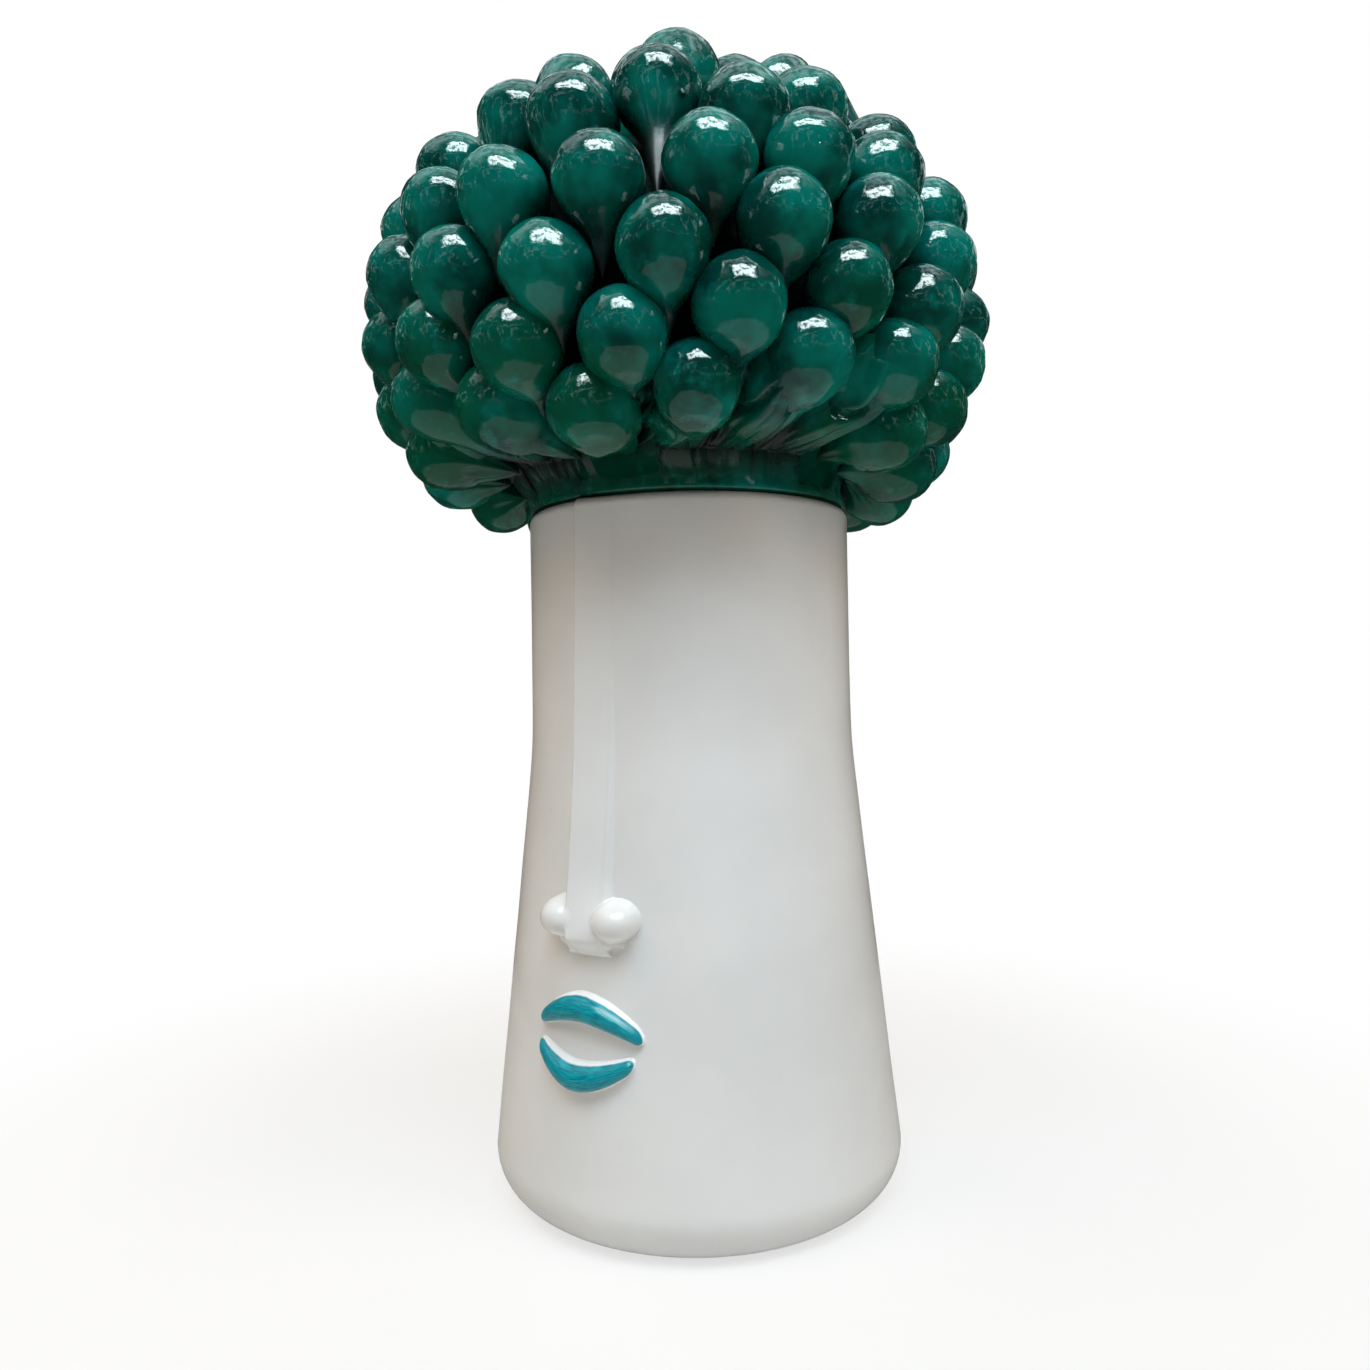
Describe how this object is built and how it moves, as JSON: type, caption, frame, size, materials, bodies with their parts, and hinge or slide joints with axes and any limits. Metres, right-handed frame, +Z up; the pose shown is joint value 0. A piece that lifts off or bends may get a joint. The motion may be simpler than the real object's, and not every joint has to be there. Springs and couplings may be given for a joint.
{
  "type": "lidded ceramic vase",
  "caption": "Tall flared white ceramic vase with a plain face in relief and a lift-off green lid covered with rows of rounded clay drops.",
  "frame": {"origin": "centre of the flat foot, on the surface it stands on", "axes": "+Z up along the body's axis, the face looks to -Y, +X to the right of someone who looks at the face"},
  "size_m": [0.3369, 0.3347, 0.5945],
  "materials": {
    "white_glaze": "gloss white tin glaze",
    "turquoise_glaze": "gloss turquoise glaze",
    "green_glaze": "high gloss copper green glaze"
  },
  "bodies": {
    "vase": {"vase_body": "white_glaze", "nose_ridge": "white_glaze", "nostril_left": "white_glaze", "nostril_right": "white_glaze", "upper_lip": "turquoise_glaze", "lower_lip": "turquoise_glaze"},
    "lid": {"lid_dome": "green_glaze", "lid_locating_ring": "green_glaze", "drop_row_1": "green_glaze", "drop_row_2": "green_glaze", "drop_row_3": "green_glaze", "drop_row_4": "green_glaze", "drop_row_5": "green_glaze", "drop_row_6": "green_glaze", "drop_row_7": "green_glaze", "drop_row_8": "green_glaze", "drop_row_9": "green_glaze"}
  },
  "joints": [
    {"name": "lid_lift", "type": "slide", "parent": "vase", "child": "lid", "axis": [0, 0, 1], "range_m": [0, 0.2]}
  ]
}
